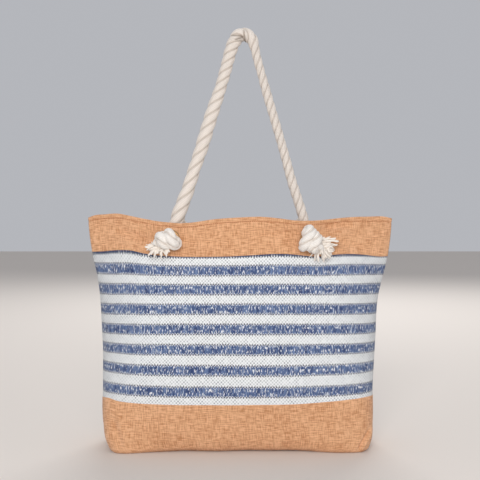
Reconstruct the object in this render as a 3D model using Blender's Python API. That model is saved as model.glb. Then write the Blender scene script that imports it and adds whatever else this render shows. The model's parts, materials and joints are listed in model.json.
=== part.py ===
"""Beach bag: a striped cloth tote with boxed bottom corners and two knotted rope handles.

Frame: metres, +Z up, the base rests on z = 0, the front faces -Y and +X is to the right.
"""

import math

import bmesh
import bpy
from mathutils import Matrix, Vector

# Bag body: half width and half depth of the outside at each height, and how boxy the plan is there.
RIM_Z = 0.392
BAND_SEAM_Z = 0.331  # between the top band and the striped panel
BOTTOM_SEAM_Z = 0.079  # between the striped panel and the bottom band
#          z,     half width, half depth, side power, front power
STATIONS = [
    (0.000, 0.2090, 0.0560, 9.0, 9.0),
    (0.012, 0.2210, 0.0610, 7.0, 7.0),
    (0.040, 0.2290, 0.0635, 5.5, 4.5),
    (0.100, 0.2320, 0.0650, 4.2, 3.0),
    (0.180, 0.2340, 0.0630, 3.4, 2.2),
    (0.260, 0.2390, 0.0590, 2.8, 1.7),
    (0.325, 0.2505, 0.0550, 2.3, 1.3),
    (0.362, 0.2570, 0.0535, 2.1, 1.15),
    (0.392, 0.2605, 0.0530, 2.0, 1.1),
]
CLOTH = 0.0014  # outer cloth with its interlining
LINING = 0.0006
GAP = 0.0003  # left between pieces that touch
SIDE_LAP = 2.2  # how much thicker the wall is at the side seams, where it is folded
PLAN_POINTS = 22  # points along one half of the plan
LEVEL_STEP = 0.034  # the most between two levels of the loft
OVERCUT = 0.004  # a hollow runs this far past the wall it opens

# Rope handles and the eyelets that they pass through.
ROPE_R = 0.0105
ROPE_IN_HOLE_R = 0.0081  # the eyelet squeezes the rope
HOLE_X = 0.1150
HOLE_Z = 0.357
HOLE_R = 0.0115
EYELET_BORE_R = 0.0100
EYELET_BARREL_R = 0.0110
EYELET_FLANGE_R = 0.0148
EYELET_METAL = 0.0007
EYELET_CLEAR = 0.0007  # the flat metal stands this much off the curved cloth
LEG_OFFSET = 0.0185  # from the cloth's outside in to the middle of the upright rope
HINGE_Z = 0.409
HINGE_OFFSET = 0.006  # the handle turns about a line just inside the rim
ROUTE_STEPS = 3  # points read from each span of a rope's route
SQUEEZED_POINTS = 5  # of the route, from the knot to just behind the cloth
STRAIGHT_END = 0.004  # of each rope end that butts on the next stretch

# Half of the front handle's upright line, from one side of the rim to the other: x and z.
FRONT_LOOP = [
    (-0.1010, 0.4084),
    (-0.0825, 0.4460),
    (-0.0613, 0.5045),
    (-0.0470, 0.5540),
    (-0.0340, 0.6040),
    (-0.0205, 0.6540),
    (-0.0098, 0.6830),
    (0.0066, 0.6965),
    (0.0230, 0.6830),
    (0.0310, 0.6540),
    (0.0415, 0.6040),
    (0.0576, 0.5540),
    (0.0765, 0.4880),
    (0.0875, 0.4480),
    (0.1010, 0.4084),
]
# The back handle hangs down behind: x, distance behind the hinge line, and z.
BACK_LOOP = [
    (-0.1003, 0.0048, 0.4096),
    (-0.0960, 0.0165, 0.4060),
    (-0.0880, 0.0245, 0.3930),
    (-0.0800, 0.0275, 0.3700),
    (-0.0765, 0.0300, 0.3350),
    (-0.0760, 0.0335, 0.2750),
    (-0.0750, 0.0360, 0.2080),
    (-0.0640, 0.0375, 0.1580),
    (-0.0380, 0.0380, 0.1260),
    (0.0000, 0.0382, 0.1150),
]

# Knots and frayed ends: half sizes of the knot, and the fan of each frayed end.
KNOT_HALF = Vector((0.0215, 0.0165, 0.0190))
KNOT_TURNS = 3
KNOT_STAND = 0.0030  # from the cloth to the back of the knot, past the eyelet's flange
TAIL_START = 0.0233  # from the hole's middle
TAIL_LENGTH = 0.034
TAIL_OUT = 0.0135  # from the cloth to the middle of the fan
TAIL_SECTIONS = [(0.0, 0.008, 0.0050), (0.5, 0.0135, 0.0055), (1.0, 0.0185, 0.0035)]
TAIL_DROP_DEG = 34.0  # each frayed end points outwards and this much down

# Closure and pocket, both on the lining.
SNAP_R = 0.009
SNAP_Z = 0.362
POCKET_HALF_WIDTH = 0.100
POCKET_Z = (0.170, 0.300)
POCKET_CLOTH = 0.0008

CLOTH_TAN = (0.66, 0.40, 0.24)
CLOTH_STRIPED = (0.36, 0.46, 0.60)
LINING_CREAM = (0.80, 0.76, 0.68)
ROPE_CREAM = (0.83, 0.75, 0.65)
METAL = (0.78, 0.74, 0.66)


def clear_scene():
    for item in list(bpy.data.objects):
        bpy.data.objects.remove(item, do_unlink=True)


def make_material(name, color, roughness, metallic=0.0):
    material = bpy.data.materials.new(name)
    material.use_nodes = True
    shader = material.node_tree.nodes["Principled BSDF"]
    shader.inputs["Base Color"].default_value = (*color, 1.0)
    shader.inputs["Roughness"].default_value = roughness
    shader.inputs["Metallic"].default_value = metallic
    return material


def add_object(name, mesh_or_curve, color, roughness=0.9, metallic=0.0):
    item = bpy.data.objects.new(name, mesh_or_curve)
    bpy.context.scene.collection.objects.link(item)
    mesh_or_curve.materials.append(make_material(name, color, roughness, metallic))
    return item


def mesh_from(bm, name, sharp_deg=35):
    bmesh.ops.recalc_face_normals(bm, faces=bm.faces)
    mesh = bpy.data.meshes.new(name)
    bm.to_mesh(mesh)
    bm.free()
    mesh.shade_smooth()
    mesh.set_sharp_from_angle(angle=math.radians(sharp_deg))
    return mesh


def section_at(z):
    """Half width, half depth and the two powers of the plan at one height, eased between stations."""
    z = min(max(z, STATIONS[0][0]), STATIONS[-1][0])
    for low, high in zip(STATIONS, STATIONS[1:]):
        if z <= high[0]:
            t = (z - low[0]) / (high[0] - low[0])
            return [a + (b - a) * t for a, b in zip(low[1:], high[1:])]
    return list(STATIONS[-1][1:])


def half_plan(z, inset, points=PLAN_POINTS):
    """The plan's front half from the left seam to the right, evenly spaced and shrunk by inset."""
    half_width, half_depth, side_power, front_power = section_at(z)
    fine = []
    for i in range(601):
        turn = math.pi * (1 - i / 600)
        c = math.cos(turn)
        x = math.copysign(abs(c) ** (2 / side_power), c) * half_width
        fine.append(Vector((x, -half_depth * math.sin(turn) ** (2 / front_power))))
    along = [0.0]
    for a, b in zip(fine, fine[1:]):
        along.append(along[-1] + (b - a).length)
    shrink = Vector((1 - inset * SIDE_LAP / half_width, 1 - inset / half_depth))
    even = []
    k = 0
    for i in range(points + 1):
        want = along[-1] * i / points
        while k < len(fine) - 2 and along[k + 1] < want:
            k += 1
        t = (want - along[k]) / max(along[k + 1] - along[k], 1e-9)
        even.append(fine[k].lerp(fine[k + 1], t) * shrink)
    return even


def front_y(x, z, inset=0.0):
    """How far in front of the middle the cloth is at x."""
    line = half_plan(z, inset, 160)
    for a, b in zip(line, line[1:]):
        if a.x <= x <= b.x:
            return a.y + (b.y - a.y) * (x - a.x) / (b.x - a.x)
    return 0.0


def loft_half(name, inset, rings, seam_y):
    """A closed solid under the front half's plan: each ring is a height and the height of its plan."""
    bm = bmesh.new()
    loops = []
    for z, plan_z in rings:
        plan = [Vector((p.x, min(p.y, -GAP / 2))) for p in half_plan(plan_z, inset)]
        line = plan if seam_y < 0 else [Vector((plan[0].x, seam_y)), *plan, Vector((plan[-1].x, seam_y))]
        loops.append([bm.verts.new((p.x, p.y, z)) for p in line])
    for low, high in zip(loops, loops[1:]):
        for a, b, c, d in zip(low, low[1:] + low[:1], high[1:] + high[:1], high):
            bm.faces.new((a, b, c))  # every layer is split the same way, so layers never cross
            bm.faces.new((a, c, d))
    for loop in (loops[0], loops[-1]):
        bm.faces.new(loop)
    return mesh_from(bm, name)


def levels_between(low, high):
    """Low, high and the shared levels between them."""
    marks = sorted({s[0] for s in STATIONS} | {BOTTOM_SEAM_Z, BAND_SEAM_Z})
    shared = []
    for a, b in zip(marks, marks[1:]):
        count = max(1, round((b - a) / LEVEL_STEP))
        shared += [a + (b - a) * i / count for i in range(count)]
    return [low, *[z for z in shared if low + 0.002 < z < high - 0.002], high]


def cut(item, cutter):
    cutter.hide_render = True
    cutter.display_type = "WIRE"
    cutter.hide_set(True)
    modifier = item.modifiers.new(cutter.name, "BOOLEAN")
    modifier.operation = "DIFFERENCE"
    modifier.solver = "EXACT"
    modifier.object = cutter


def half_shell(name, side, inset, thickness, low, high, color, with_base=False):
    """One half of a wall: the front is at side -1, and the back is the front turned half round."""
    rings = [(z, z) for z in levels_between(low, high)]
    solid = add_object(name, loft_half(name, inset, rings, -GAP / 2), color)
    hollow_low = low + thickness if with_base else low
    inner = [(z, z) for z in levels_between(hollow_low, high)]
    if not with_base:
        inner.insert(0, (low - OVERCUT, low))
    inner.append((high + OVERCUT, high))
    hollow_mesh = loft_half(name + "_hollow", inset + thickness, inner, OVERCUT)
    hollow = bpy.data.objects.new(name + "_hollow", hollow_mesh)
    bpy.context.scene.collection.objects.link(hollow)
    if side > 0:
        solid.rotation_euler.z = math.pi
        hollow.rotation_euler.z = math.pi
    cut(solid, hollow)
    return solid


def hole_frame(x, side):
    """The frame of an eyelet: its Z points out of the cloth."""
    y = front_y(x, HOLE_Z)
    step = 0.004
    slope_x = (front_y(x + step, HOLE_Z) - front_y(x - step, HOLE_Z)) / (2 * step)
    slope_z = (front_y(x, HOLE_Z + step) - front_y(x, HOLE_Z - step)) / (2 * step)
    out = Vector((slope_x, -1.0, slope_z)).normalized()
    place = Vector((x, y, HOLE_Z))
    if side > 0:
        out.y = -out.y
        place.y = -place.y
    turn = out.to_track_quat("Z", "Y").to_matrix().to_4x4()
    return Matrix.Translation(place) @ turn


def turned(name, profile, color, roughness, metallic, frame, steps=20):
    """A ring turned round Z from a closed profile of radius and height."""
    bm = bmesh.new()
    ring = [bm.verts.new((r, 0.0, z)) for r, z in profile]
    edges = [bm.edges.new((a, b)) for a, b in zip(ring, ring[1:] + ring[:1])]
    bmesh.ops.spin(
        bm, geom=ring + edges, cent=(0, 0, 0), axis=(0, 0, 1), angle=math.tau, steps=steps, use_merge=True
    )
    bmesh.ops.remove_doubles(bm, verts=bm.verts, dist=0.00001)
    item = add_object(name, mesh_from(bm, name), color, roughness, metallic)
    item.matrix_world = frame
    return item


def make_eyelet(name, frame):
    """The barrel and front flange, whose edge is rolled."""
    m = EYELET_METAL
    back = -(CLOTH + LINING + 2 * GAP + EYELET_CLEAR + 2 * m)
    front = EYELET_CLEAR
    profile = [
        (EYELET_BORE_R, back),
        (EYELET_BARREL_R, back),
        (EYELET_BARREL_R, front),
        (EYELET_FLANGE_R, front),
        (EYELET_FLANGE_R + m, front + m * 0.7),
        (EYELET_FLANGE_R - m, front + m * 2.0),
        (EYELET_BARREL_R + m, front + m * 2.2),
        (EYELET_BORE_R, front + m * 1.4),
    ]
    return turned(name, profile, METAL, 0.32, 1.0, frame)


def make_washer(name, frame):
    top = -(CLOTH + LINING + GAP + EYELET_CLEAR)
    profile = [
        (EYELET_BARREL_R + GAP, top - EYELET_METAL),
        (EYELET_FLANGE_R - 0.001, top - EYELET_METAL),
        (EYELET_FLANGE_R, top),
        (EYELET_BARREL_R + GAP, top),
    ]
    return turned(name, profile, METAL, 0.35, 1.0, frame)


def smooth_line(points, per_span):
    """A curve through the points, read off at even steps of each span."""
    padded = [points[0] * 2 - points[1], *points, points[-1] * 2 - points[-2]]
    line = []
    for a, b, c, d in zip(padded, padded[1:], padded[2:], padded[3:]):
        for i in range(per_span):
            t = i / per_span
            line.append(
                0.5
                * (
                    2 * b
                    + (c - a) * t
                    + (2 * a - 5 * b + 4 * c - d) * t * t
                    + (3 * b - a - 3 * c + d) * t * t * t
                )
            )
    return [*line, points[-1]]


def rope_tube(name, points, squeezed=0):
    """A tube through the points, narrower along the first few of them where the eyelet squeezes it."""
    curve = bpy.data.curves.new(name, "CURVE")
    curve.dimensions = "3D"
    curve.bevel_depth = ROPE_R
    curve.bevel_resolution = 2
    curve.use_fill_caps = True
    spline = curve.splines.new("POLY")
    spline.points.add(len(points) - 1)
    for i, (knot, place) in enumerate(zip(spline.points, points)):
        knot.co = (*place, 1.0)
        knot.radius = ROPE_IN_HOLE_R / ROPE_R if i < squeezed else 1.0
    return add_object(name, curve, ROPE_CREAM)


def leg_y():
    """The plane that the front handle stands in."""
    return front_y(HOLE_X, HOLE_Z) + LEG_OFFSET


def hinge_y():
    return front_y(HOLE_X, HOLE_Z) + HINGE_OFFSET


def root_route(side_x, side):
    """Points of the rope from its knot, through the eyelet and up behind the rim."""
    frame = hole_frame(side_x * HOLE_X, -1)
    start = frame @ Vector((0.0, 0.0, GAP * 4))
    inward = -(frame.to_3x3() @ Vector((0.0, 0.0, 1.0)))
    y = leg_y()
    points = [
        start,
        start + inward * 0.0100,
        Vector((side_x * 0.1136, y - 0.0042, HOLE_Z + 0.0040)),
        Vector((side_x * 0.1112, y - 0.0002, HOLE_Z + 0.0170)),
        Vector((side_x * 0.1075, y, HOLE_Z + 0.0320)),
    ]
    if side > 0:
        points.append(Vector((side_x * 0.1045, y - 0.0045, HOLE_Z + 0.0450)))
    return [Vector((p.x, p.y * -side, p.z)) for p in points]


def butt_joint(line, at):
    """Two lines out of one, whose end faces are parallel and a gap apart."""
    along = (line[at + 1] - line[at - 1]).normalized()
    clear = 1.5 * STRAIGHT_END
    before = [p for p in line[:at] if (p - line[at]).length > clear]
    after = [p for p in line[at + 1 :] if (p - line[at]).length > clear]
    before += [line[at] - along * d for d in (STRAIGHT_END, GAP / 2)]
    after = [line[at] + along * d for d in (GAP / 2, STRAIGHT_END)] + after
    return before, after


def make_handle(word, side, loop, pivot):
    """One rope: a root in each eyelet, and between them the loop that swings."""
    left_root = root_route(-1, side)
    right_root = root_route(1, side)
    route = left_root + loop + right_root[::-1]
    line = smooth_line(route, ROUTE_STEPS)
    root, line = butt_joint(line, len(left_root) * ROUTE_STEPS)
    rope_tube(f"{word}_left_rope_root", root, SQUEEZED_POINTS)
    line, root = butt_joint(line, len(line) - 1 - len(right_root) * ROUTE_STEPS)
    rope_tube(f"{word}_right_rope_root", root[::-1], SQUEEZED_POINTS)
    rope = rope_tube(word + "_handle_rope", [p - pivot.location for p in line])
    rope.parent = pivot


def make_handles():
    front_loop = [Vector((x, leg_y(), z)) for x, z in FRONT_LOOP]
    make_handle("front", -1, front_loop, make_hinge("front_handle_hinge", -1))
    left = [Vector((x, y - hinge_y(), z)) for x, y, z in BACK_LOOP]
    right = [Vector((-p.x, p.y, p.z)) for p in reversed(left[:-1])]
    make_handle("back", 1, left + right, make_hinge("back_handle_hinge", 1))


def make_knot(name, frame):
    """The lump of a single knot: a ball with the bulges of its turns."""
    bm = bmesh.new()
    bmesh.ops.create_uvsphere(bm, u_segments=22, v_segments=12, radius=1.0)
    for v in bm.verts:
        around = math.atan2(v.co.y, v.co.x)
        bulge = 1 + 0.07 * math.cos(KNOT_TURNS * around + 3.0 * v.co.z)
        v.co = Vector((v.co.x * KNOT_HALF.x, v.co.y * KNOT_HALF.z, v.co.z * KNOT_HALF.y)) * bulge
    item = add_object(name, mesh_from(bm, name), ROPE_CREAM)
    item.matrix_world = frame @ Matrix.Translation((0, 0, KNOT_HALF.y * 1.07 + KNOT_STAND))
    return item


def make_tail(name, frame, angle_deg):
    """A frayed end: a flat fan that widens away from its knot."""
    bm = bmesh.new()
    way = Matrix.Rotation(math.radians(angle_deg), 4, "Z")
    rings = []
    for share, half_w, half_t in TAIL_SECTIONS:
        bmesh.ops.create_circle(bm, segments=14, radius=1.0)
        ring = [v for v in bm.verts if v not in {w for r in rings for w in r}]
        for v in ring:
            x, y = v.co.x, v.co.y
            v.co = way @ Vector((TAIL_START + TAIL_LENGTH * share, y * half_w, x * half_t))
        rings.append(ring)
    edges = [[e for e in bm.edges if all(v in r for v in e.verts)] for r in rings]
    for low, high in zip(edges, edges[1:]):
        bmesh.ops.bridge_loops(bm, edges=low + high)
    for ring in (edges[0], edges[-1]):
        bmesh.ops.edgeloop_fill(bm, edges=ring)
    item = add_object(name, mesh_from(bm, name), ROPE_CREAM)
    item.matrix_world = frame @ Matrix.Translation((0, 0, TAIL_OUT))
    return item


def make_snap(name, side):
    """Half of the magnetic closure, on the lining at the middle of the mouth."""
    y = -front_y(0.0, SNAP_Z, CLOTH + LINING + 2 * GAP) - GAP
    frame = Matrix.Translation((0.0, side * y, SNAP_Z)) @ Matrix.Rotation(
        math.radians(90.0) * (1 if side > 0 else -1), 4, "X"
    )
    if side < 0:
        profile = [(0.0012, 0.0), (SNAP_R, 0.0), (SNAP_R, 0.0016), (0.0032, 0.0020), (0.0030, 0.0042)]
        profile.append((0.0012, 0.0042))
    else:
        profile = [(0.0036, 0.0), (SNAP_R, 0.0), (SNAP_R, 0.0030), (0.0075, 0.0036), (0.0036, 0.0036)]
    return turned(name, profile, METAL, 0.3, 1.0, frame)


def make_pocket():
    """A slip pocket of one cloth, sewn flat against the back lining."""
    inset = CLOTH + LINING + 2.5 * GAP
    bm = bmesh.new()
    rings = []
    for z in levels_between(*POCKET_Z):
        xs = [POCKET_HALF_WIDTH * (i / 8 - 1) for i in range(17)]
        outer = [Vector((x, -front_y(x, z, inset))) for x in xs]
        ring = [bm.verts.new((p.x, p.y, z)) for p in outer]
        ring += [bm.verts.new((p.x, p.y - POCKET_CLOTH, z)) for p in reversed(outer)]
        rings.append([bm.edges.new((a, b)) for a, b in zip(ring, ring[1:] + ring[:1])])
    for low, high in zip(rings, rings[1:]):
        bmesh.ops.bridge_loops(bm, edges=low + high)
    for ring in (rings[0], rings[-1]):
        bmesh.ops.edgeloop_fill(bm, edges=ring)
    return add_object("inner_pocket", mesh_from(bm, "inner_pocket"), LINING_CREAM)


def make_hinge(name, side):
    pivot = bpy.data.objects.new(name, None)
    pivot.location = (0.0, side * -hinge_y(), HINGE_Z)
    bpy.context.scene.collection.objects.link(pivot)
    return pivot


def make_drill(name, frame):
    bm = bmesh.new()
    bmesh.ops.create_cone(bm, cap_ends=True, segments=28, radius1=HOLE_R, radius2=HOLE_R, depth=0.02)
    mesh = bpy.data.meshes.new(name)
    bm.to_mesh(mesh)
    bm.free()
    drill = bpy.data.objects.new(name, mesh)
    drill.matrix_world = frame
    bpy.context.scene.collection.objects.link(drill)
    return drill


def make_side(word, side):
    lining_inset = CLOTH + GAP
    top = half_shell(word + "_top_band", side, 0.0, CLOTH, BAND_SEAM_Z + GAP / 2, RIM_Z, CLOTH_TAN)
    half_shell(
        word + "_stripe_panel", side, 0.0, CLOTH, BOTTOM_SEAM_Z + GAP / 2, BAND_SEAM_Z - GAP / 2, CLOTH_STRIPED
    )
    half_shell(word + "_bottom_band", side, 0.0, CLOTH, 0.0, BOTTOM_SEAM_Z - GAP / 2, CLOTH_TAN, True)
    lining = half_shell(
        word + "_lining", side, lining_inset, LINING, CLOTH + GAP, RIM_Z - 0.001, LINING_CREAM, True
    )
    for hand, side_x in (("left", -1), ("right", 1)):
        frame = hole_frame(side_x * HOLE_X, side)
        drill = make_drill(f"{word}_{hand}_drill", frame)
        for item in (top, lining):
            cut(item, drill)
        make_eyelet(f"{word}_{hand}_eyelet", frame)
        make_washer(f"{word}_{hand}_eyelet_washer", frame)
        make_knot(f"{word}_{hand}_knot", frame)
        outward_is_x = side_x * -side > 0
        way = -TAIL_DROP_DEG if outward_is_x else 180 + TAIL_DROP_DEG
        make_tail(f"{word}_{hand}_frayed_end", frame, way)


def main():
    clear_scene()
    for word, side in (("front", -1), ("back", 1)):
        make_side(word, side)
        make_snap(f"{word}_snap_half", side)
    make_handles()
    make_pocket()


main()
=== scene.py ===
import json
import math

import bmesh
import bpy
import numpy as np
from mathutils import Matrix, Vector


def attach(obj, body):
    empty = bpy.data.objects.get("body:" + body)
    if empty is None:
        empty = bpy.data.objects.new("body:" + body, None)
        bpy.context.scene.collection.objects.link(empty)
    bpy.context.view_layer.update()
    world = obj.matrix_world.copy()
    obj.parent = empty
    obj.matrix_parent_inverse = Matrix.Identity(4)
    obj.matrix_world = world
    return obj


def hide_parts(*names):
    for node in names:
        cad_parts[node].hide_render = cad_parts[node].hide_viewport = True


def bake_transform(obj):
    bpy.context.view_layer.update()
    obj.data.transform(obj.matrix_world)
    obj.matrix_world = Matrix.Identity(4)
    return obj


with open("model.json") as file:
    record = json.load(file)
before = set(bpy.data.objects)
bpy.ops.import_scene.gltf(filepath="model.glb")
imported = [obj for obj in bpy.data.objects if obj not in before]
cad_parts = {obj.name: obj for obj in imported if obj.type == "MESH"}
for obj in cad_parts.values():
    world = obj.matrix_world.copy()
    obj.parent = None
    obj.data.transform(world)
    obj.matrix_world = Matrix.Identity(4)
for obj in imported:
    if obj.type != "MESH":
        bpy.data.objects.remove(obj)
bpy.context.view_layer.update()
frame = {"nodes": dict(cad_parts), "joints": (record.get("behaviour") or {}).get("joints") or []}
print("frame loaded")

# all sizes are in metres, in the frame's axes: the front faces -Y, and the bag stands on z = 0
bag = {
    "rim": 0.392,
    "bandSeam": 0.331,
    "bottomSeam": 0.079,
    "flatWidth": 0.562,
    # height, then half width, half depth and the two powers of the plan there
    "stations": [
        (0.0, 0.2085, 0.056, 9.0, 9.0),
        (0.003, 0.2145, 0.06, 8.0, 8.0),
        (0.012, 0.2215, 0.0625, 7.0, 7.0),
        (0.04, 0.229, 0.064, 5.5, 4.5),
        (0.1, 0.232, 0.065, 4.2, 3.0),
        (0.18, 0.234, 0.063, 3.4, 2.2),
        (0.26, 0.239, 0.059, 2.8, 1.7),
        (0.325, 0.252, 0.055, 2.3, 1.3),
        (0.362, 0.2575, 0.0535, 2.1, 1.15),
        (0.392, 0.26, 0.053, 2.0, 1.1),
    ],
    # height, and how far the plan's middle stands to the right there
    "centreShift": [
        (0.0, 0.0), (0.056, -0.0035), (0.181, -0.0028), (0.25, -0.0022), (0.3, -0.0006), (0.392, 0.0),
    ],
    "cells": 300,
    "cellHeight": 0.0022,
}

# how each seam and edge runs across the bag: x and height
baseLine = [(-0.23, 0.0), (-0.10, 0.0002), (0.0, 0.0020), (0.10, 0.0005), (0.23, 0.0)]
frontLines = {
    "base": baseLine,
    "bottomSeam": [
        (-0.24, 0.085), (-0.222, 0.0905), (-0.205, 0.0876), (-0.18, 0.0855), (-0.13, 0.084),
        (0.0, 0.0833), (0.066, 0.0841), (0.108, 0.0856), (0.149, 0.0884), (0.192, 0.0912),
        (0.222, 0.0912), (0.24, 0.0845),
    ],
    "bandSeam": [
        (-0.256, 0.3322), (-0.239, 0.3335), (-0.203, 0.3368), (-0.185, 0.3366), (-0.159, 0.3315),
        (-0.13, 0.3285), (-0.1, 0.3272), (-0.017, 0.3278), (0.025, 0.33), (0.055, 0.3318),
        (0.078, 0.3315), (0.1, 0.3296), (0.125, 0.3273), (0.161, 0.3299), (0.185, 0.3305),
        (0.211, 0.3288), (0.235, 0.3252), (0.256, 0.3248),
    ],
    "rim": [
        (-0.262, 0.39), (-0.248, 0.3948), (-0.231, 0.3964), (-0.208, 0.3978), (-0.185, 0.394),
        (-0.16, 0.389), (-0.119, 0.3834), (-0.1, 0.3818), (-0.079, 0.3834), (-0.045, 0.3885),
        (0.0, 0.3918), (0.041, 0.3927), (0.066, 0.3902), (0.09, 0.387), (0.112, 0.3861),
        (0.134, 0.3868), (0.168, 0.3903), (0.19, 0.392), (0.22, 0.3926), (0.248, 0.3922),
        (0.262, 0.389),
    ],
}
backLines = {
    "base": baseLine,
    "bottomSeam": [(-0.24, 0.085), (-0.2, 0.0855), (0.0, 0.0835), (0.2, 0.086), (0.24, 0.0845)],
    "bandSeam": [
        (-0.256, 0.3322), (-0.19, 0.333), (-0.11, 0.327), (0.02, 0.332), (0.11, 0.3265),
        (0.19, 0.33), (0.256, 0.3248),
    ],
    "rim": [
        (-0.262, 0.39), (-0.205, 0.3945), (-0.155, 0.383), (-0.109, 0.37), (-0.064, 0.381),
        (0.0, 0.3885), (0.055, 0.385), (0.109, 0.371), (0.155, 0.383), (0.205, 0.3885), (0.262, 0.389),
    ],
}

rope = {
    "holeX": 0.1150,
    "holeZ": 0.357,
    "legOffset": 0.0185,
    "diameter": 0.0205,
    "squeezed": 0.0084,
    "around": 54,
    "step": 0.0016,
    # short creases, each from x and height to x and height, where the front loop is bent hard
    "pinch": {
        "creases": [
            (-0.0126, 0.695, 0.0055, 0.6935), (-0.0074, 0.6878, 0.008, 0.6935),
            (0.0063, 0.7025, 0.0074, 0.692), (0.0074, 0.692, 0.0095, 0.6845),
        ],
        "width": 0.0012,
        "depth": 0.0022,
    },
    # the upright front loop: x and z
    "frontLoop": [
        (-0.1045, 0.393), (-0.1, 0.407), (-0.0878, 0.4387), (-0.0772, 0.4723), (-0.0657, 0.5058),
        (-0.0555, 0.5392), (-0.0451, 0.5726), (-0.0337, 0.6059), (-0.024, 0.6392), (-0.0158, 0.67),
        (-0.01, 0.685), (-0.003, 0.695), (0.0067, 0.698), (0.0162, 0.694), (0.0226, 0.6835),
        (0.0295, 0.6558), (0.0388, 0.6226), (0.0482, 0.5893), (0.0582, 0.5559), (0.068, 0.5225),
        (0.0775, 0.489), (0.0866, 0.4555), (0.0975, 0.4219), (0.1028, 0.4051), (0.1062, 0.393),
    ],
    # height and radius of each front leg
    "leftWidths": [(0.38, 0.0121), (0.42, 0.0118), (0.47, 0.0107), (0.53, 0.0117), (0.575, 0.0112),
                   (0.62, 0.01), (0.66, 0.0106), (0.695, 0.0116)],
    "rightWidths": [(0.38, 0.0092), (0.41, 0.0084), (0.45, 0.0082), (0.52, 0.0076), (0.6, 0.0078),
                    (0.65, 0.0073), (0.68, 0.0084), (0.695, 0.0116)],
    # how much rope one turn of a strand takes: by height on the left leg, and all along the right one
    "leftLay": [(0.38, 0.08), (0.46, 0.078), (0.56, 0.064), (0.64, 0.05), (0.7, 0.046)],
    "rightLay": 0.048,
    # each end of the rope stays in the cloth for this far
    "rootLength": 0.034,
    # half of the hanging back loop: x, distance behind the hinge line, and z
    "backLoop": [
        (-0.1105, 0.001, 0.3815), (-0.11, 0.012, 0.3825), (-0.1035, 0.0205, 0.376),
        (-0.092, 0.0262, 0.362), (-0.0825, 0.0285, 0.342), (-0.0775, 0.0305, 0.315),
        (-0.0765, 0.034, 0.26), (-0.0745, 0.0362, 0.199), (-0.064, 0.0375, 0.156),
        (-0.038, 0.038, 0.126), (0.0, 0.0382, 0.115),
    ],
}


# a screen colour, 0 to 255, as the shader's linear colour
def linear(red, green, blue):
    parts = [c / 255 for c in (red, green, blue)]
    return tuple(c / 12.92 if c <= 0.04045 else ((c + 0.055) / 1.055) ** 2.4 for c in parts)


# a smooth curve through the knots, read at many places at once
def through(knots, at):
    xs, ys = np.array(knots, float).T
    at = np.clip(at, xs[0], xs[-1])
    slopes = np.gradient(ys, xs)
    i = np.clip(np.searchsorted(xs, at) - 1, 0, len(xs) - 2)
    width = xs[i + 1] - xs[i]
    t = (at - xs[i]) / width
    return (
        (2 * t**3 - 3 * t**2 + 1) * ys[i]
        + (t**3 - 2 * t**2 + t) * width * slopes[i]
        + (3 * t**2 - 2 * t**3) * ys[i + 1]
        + (t**3 - t**2) * width * slopes[i + 1]
    )


# x and depth of the front's plan at one height, at shares of its length from seam to seam
def planRow(height, across):
    values = [float(through([(s[0], s[n]) for s in bag["stations"]], np.array(height))) for n in range(1, 5)]
    halfWidth, halfDepth, sidePower, frontPower = values
    turn = np.linspace(math.pi, 0.0, 1201)
    x = np.sign(np.cos(turn)) * np.abs(np.cos(turn)) ** (2 / sidePower) * halfWidth
    y = halfDepth * np.abs(np.sin(turn)) ** (2 / frontPower)
    along = np.concatenate([[0.0], np.cumsum(np.hypot(np.diff(x), np.diff(y)))])
    want = (across + 1) / 2 * along[-1]
    return np.interp(want, along, x), np.interp(want, along, y)


def bump(x, z, centreX, centreZ, sizeX, sizeZ):
    return np.exp(-(((x - centreX) / sizeX) ** 2) - ((z - centreZ) / sizeZ) ** 2)


# a straight fold between two places: a valley with a low ridge beside it
def crease(x, z, start, end, width, depth):
    start, end = np.array(start), np.array(end)
    way = end - start
    size = np.linalg.norm(way)
    along = ((x - start[0]) * way[0] + (z - start[1]) * way[1]) / size**2
    off = ((x - start[0]) * way[1] - (z - start[1]) * way[0]) / size
    fade = np.clip(1.4 * np.sin(np.clip(along, 0, 1) * math.pi), 0, 1)
    ridge = 0.55 * np.exp(-(((off - 1.6 * width) / width) ** 2))
    return depth * fade * (ridge - np.exp(-((off / width) ** 2)))


# each fold's two ends as x and height, then its width and depth
folds = {
    "strength": 1.9,
    "front": [
        ((-0.212, 0.372), (-0.14, 0.35), 0.007, 0.0022),
        ((-0.095, 0.356), (-0.03, 0.342), 0.0075, 0.0016),
        ((-0.124, 0.384), (-0.15, 0.392), 0.006, 0.0012),
        ((0.09, 0.362), (0.03, 0.372), 0.008, 0.0016),
        ((0.135, 0.374), (0.19, 0.381), 0.006, 0.0022),
        ((0.16, 0.352), (0.215, 0.338), 0.008, 0.0014),
        ((0.196, 0.003), (0.22, 0.041), 0.0026, 0.003),
        ((-0.196, 0.006), (-0.214, 0.062), 0.006, 0.0016),
    ],
    "back": [
        ((-0.14, 0.35), (-0.205, 0.368), 0.007, 0.002),
        ((0.095, 0.356), (0.03, 0.342), 0.0075, 0.0016),
        ((0.135, 0.35), (0.2, 0.37), 0.007, 0.0018),
        ((-0.194, 0.004), (-0.221, 0.04), 0.003, 0.0024),
    ],
}


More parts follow.
